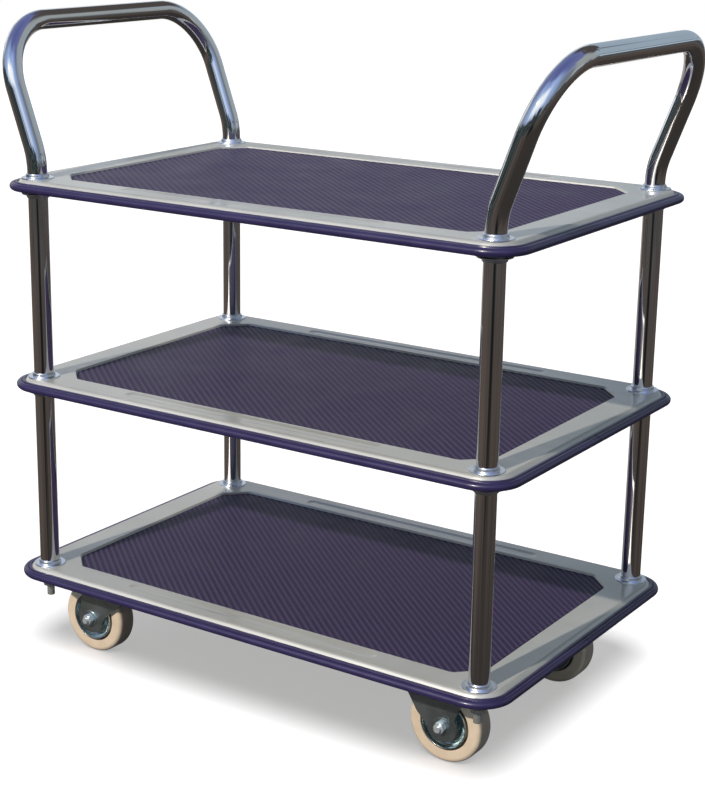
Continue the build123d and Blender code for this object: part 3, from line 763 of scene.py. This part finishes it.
def world_node(kind, *links, **values):
    """A world node; links fill its inputs in order, numbers and outputs alike."""
    n = wt.nodes.new(kind)
    for k, v in values.items():
        setattr(n, k, v)
    for socket, value in zip(n.inputs, links):
        if isinstance(value, bpy.types.NodeSocket):
            wt.links.new(value, socket)
        elif value is not None:
            socket.default_value = value
    return n


def smooth_step(value, lo, hi):
    n = world_node("ShaderNodeMapRange", value, lo, hi, interpolation_type="SMOOTHSTEP")
    return n.outputs["Result"]


def product(a, b):
    return world_node("ShaderNodeMath", a, b, operation="MULTIPLY").outputs[0]


direction = wt.nodes.new("ShaderNodeTexCoord").outputs["Generated"]
level = world_node("ShaderNodeVectorMath", direction, (1, 1, 0), operation="MULTIPLY").outputs[0]
heading = world_node("ShaderNodeVectorMath", level, operation="NORMALIZE").outputs[0]
height = world_node("ShaderNodeSeparateXYZ", direction).outputs["Z"]
radians_up = world_node("ShaderNodeMath", height, operation="ARCSINE").outputs[0]
elevation = product(radians_up, math.degrees(1.0))


def sky_noise(scale, stretch):
    """Noise over directions; stretch above 1 in Z draws it out level."""
    place = world_node("ShaderNodeVectorMath", direction, stretch, operation="MULTIPLY").outputs[0]
    return world_node("ShaderNodeTexNoise", place, None, scale, 6.0).outputs["Fac"]


# a ragged skyline: every edge below wanders up and down with the heading
ragged = sky_noise(7.0, (1, 1, 0.6))
wander = world_node("ShaderNodeMapRange", ragged, 0.3, 0.7, -5.0, 5.0).outputs["Result"]
elevation = world_node("ShaderNodeMath", elevation, wander, operation="ADD").outputs[0]

# ground, horizon and sky by elevation, all round
BASE_SKY = ((-90, (0.035, 0.031, 0.029)), (-26, (0.044, 0.039, 0.036)), (-16, (0.084, 0.067, 0.058)),
            (-4, (0.09, 0.09, 0.095)), (0, (0.07, 0.08, 0.085)), (3, (0.26, 0.31, 0.36)),
            (24, (0.28, 0.35, 0.47)), (48, (0.17, 0.20, 0.42)), (90, (0.11, 0.135, 0.36)))
share = world_node("ShaderNodeMapRange", elevation, -90, 90).outputs["Result"]
ramp = world_node("ShaderNodeValToRGB", share)
stops = ramp.color_ramp.elements
for el, colour in BASE_SKY[1:-1]:
    stops.new((el + 90) / 180)
for stop, (el, colour) in zip(stops, BASE_SKY):
    stop.position, stop.color = (el + 90) / 180, (*colour, 1)
seen_sky = ramp.outputs["Color"]

# soft patches: azimuth, half width, soft edge, elevation from, to, soft edge, colour
PATCHES = ((0, 26, 8, 3, 30, 2, (0.19, 0.23, 0.28)),              # yard at the right end
           (42, 20, 8, 1, 44, 2, (0.37, 0.40, 0.41)),             # pale gable
           (90, 32, 6, 1, 26, 2, (0.36, 0.45, 0.54)),             # haze behind
           (90, 34, 8, 27, 54, 3, (0.085, 0.075, 0.07)),          # dark trees over it
           (150, 32, 6, 0, 23, 2, (0.86, 0.90, 0.94)),            # white wall
           (146, 22, 7, 4.5, 9.6, 1.5, (0.30, 0.33, 0.34)),       # shrubs before it
           (135, 34, 12, -22, -4, 4, (0.42, 0.39, 0.37)),         # sunlit paving before it
           (-150, 42, 14, -21, -10, 4, (0.112, 0.088, 0.076)),    # lighter paving at the front left
           (-58, 11, 8, -21, -2, 4, (0.012, 0.013, 0.013)),       # a dark upright shape in front
           (-82, 62, 22, 10, 62, 12, (0.38, 0.52, 0.88)),         # bright sky on the sun's side
           (-82, 30, 14, 16, 45, 8, (1.10, 1.17, 1.22)),          # glow round the sun
           (-112, 72, 6, -9, 11, 2, (0.045, 0.058, 0.060)))       # dark hedge, cutting the glow off
for az, half, soft, low, top, fade, colour in PATCHES:
    toward = (math.cos(math.radians(az)), math.sin(math.radians(az)), 0)
    facing = world_node("ShaderNodeVectorMath", heading, toward, operation="DOT_PRODUCT").outputs["Value"]
    outside, inside = math.radians(half + soft), math.radians(max(half - soft, 0))
    wide = smooth_step(facing, math.cos(outside), math.cos(inside))
    over = smooth_step(elevation, low - fade, low + fade)
    under = smooth_step(elevation, top + fade, top - fade)
    mask = product(wide, product(over, under))
    seen_sky = world_node("ShaderNodeMixRGB", mask, seen_sky, (*colour, 1)).outputs["Color"]

# leaves and kerbs near the horizon as soft streaks
streaks = sky_noise(4.0, (1, 1, 7.0))
contrast = world_node("ShaderNodeMapRange", streaks, 0.36, 0.64, 0.30, 1.7).outputs["Result"]
near = product(smooth_step(elevation, -14, -4), smooth_step(elevation, 12, 3))
dappled = world_node("ShaderNodeMixRGB", near, (1, 1, 1, 1), contrast).outputs["Color"]
yard = world_node("ShaderNodeMixRGB", 1.0, seen_sky, dappled, blend_type="MULTIPLY").outputs["Color"]

EVEN_COLOUR, EVEN_STRENGTH = (0.78, 0.96, 1.12, 1), 0.33
glossy = world_node("ShaderNodeBackground", yard)
even = world_node("ShaderNodeBackground", EVEN_COLOUR, EVEN_STRENGTH)
white = world_node("ShaderNodeBackground", (1, 1, 1, 1))
path = wt.nodes.new("ShaderNodeLightPath")
lit = world_node("ShaderNodeMixShader", path.outputs["Is Glossy Ray"], even.outputs[0], glossy.outputs[0])
final = world_node("ShaderNodeMixShader", path.outputs["Is Camera Ray"], lit.outputs[0], white.outputs[0])
world_node("ShaderNodeOutputWorld", final.outputs[0])


# ---- lamps: a sun for the cart, and one that draws the low pieces' shadow on the floor
def lamp(name, energy, angle, colour, place, floor_state):
    """A sun shining from a place towards the middle; it leaves the floor out, or lights only the floor."""
    data = bpy.data.lights.new(name, "SUN")
    data.energy, data.angle, data.color = energy, math.radians(angle), colour
    obj = bpy.data.objects.new(name, data)
    bpy.context.scene.collection.objects.link(obj)
    obj.rotation_euler = Vector(place).to_track_quat("Z", "Y").to_euler()
    receivers = bpy.data.collections.new(name + "_receivers")
    receivers.objects.link(floor)
    receivers.collection_objects[0].light_linking.link_state = floor_state
    obj.light_linking.receiver_collection = receivers
    return obj


SUN_FROM = (-0.39, -3.0, 2.05)
FLOOR_LIGHT_FROM = (0.047, -0.072, 0.124)
lamp("key", 3.0, 1.0, (1.0, 0.93, 0.82), SUN_FROM, "EXCLUDE")
floor_lamp = lamp("floor_light", 4.0, 25.0, (0.82, 1.0, 1.17), FLOOR_LIGHT_FROM, "INCLUDE")
LOW = 0.13                # what reaches below this height, in metres, shades the floor
casters = bpy.data.collections.new("floor_shadow_casters")
for obj in bpy.context.scene.objects:
    if obj.type == "MESH" and obj is not floor and min(v.co.z for v in obj.data.vertices) < LOW:
        casters.objects.link(obj)
floor_lamp.light_linking.blocker_collection = casters

# ---- camera: its axes and place in metres, and its focal length and axis in picture points
RIGHT = (0.82266477, 0.5684536, 0.00911995)
UP = (-0.16314947, 0.22068211, 0.96160369)
BACK = (0.54461447, -0.7925654, 0.2742903)
EYE = (1.23182, -1.85740, 1.02137)
PICTURE_W, PICTURE_H = 705.0, 800.0
FOCAL, AXIS_X, AXIS_Y, SENSOR = 1786.81, 312.24, 391.89, 36.0
cam_data = bpy.data.cameras.new("camera")
cam = bpy.data.objects.new("camera", cam_data)
bpy.context.scene.collection.objects.link(cam)
cam.matrix_world = Matrix([*zip(RIGHT, UP, BACK, EYE), (0, 0, 0, 1)])
cam_data.sensor_width = SENSOR
cam_data.lens = FOCAL * SENSOR / PICTURE_H
cam_data.shift_x = (PICTURE_W / 2 - AXIS_X) / PICTURE_H
cam_data.shift_y = (AXIS_Y - PICTURE_H / 2) / PICTURE_H
cam_data.clip_start, cam_data.clip_end = 0.05, 60.0
bpy.context.scene.camera = cam
bpy.context.scene.view_settings.view_transform = "Standard"
